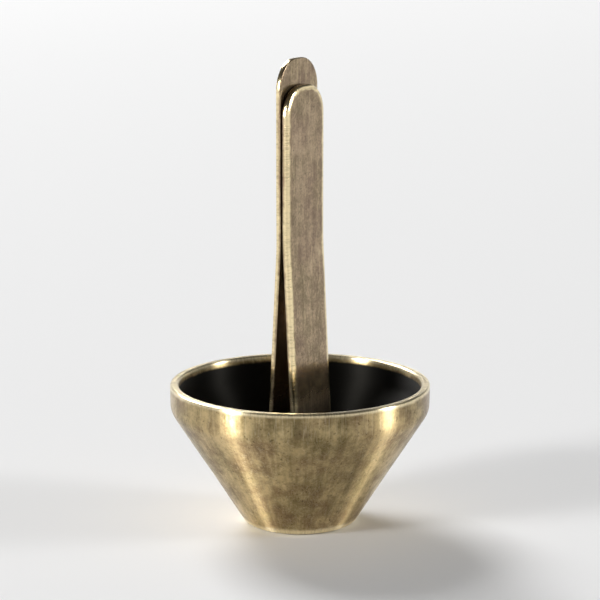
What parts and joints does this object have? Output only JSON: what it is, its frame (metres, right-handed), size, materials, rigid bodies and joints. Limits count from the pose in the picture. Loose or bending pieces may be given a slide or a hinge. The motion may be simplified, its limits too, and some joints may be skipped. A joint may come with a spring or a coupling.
{
  "type": "split-leg leather rivet",
  "caption": "Hollow cone-shaped metal head with a small flat foot and two flat legs that go through leather and spread, used as a rivet and bag foot.",
  "frame": {"origin": "centre of the head's flat foot face, on the surface that the rivet stands on", "axes": "+Z along the legs, from the foot to the leg tips; +X from the longer leg towards the shorter one; +Y across the width of the legs"},
  "size_m": [0.012, 0.012, 0.0216],
  "materials": {
    "head_finish": "aged bronze plating, worn bright on the rim and round the foot",
    "leg_finish": "aged bronze plating, worn bright along the cut edges"
  },
  "bodies": {
    "root": {"head_shell": "head_finish", "leg_strip": "leg_finish"}
  },
  "joints": []
}
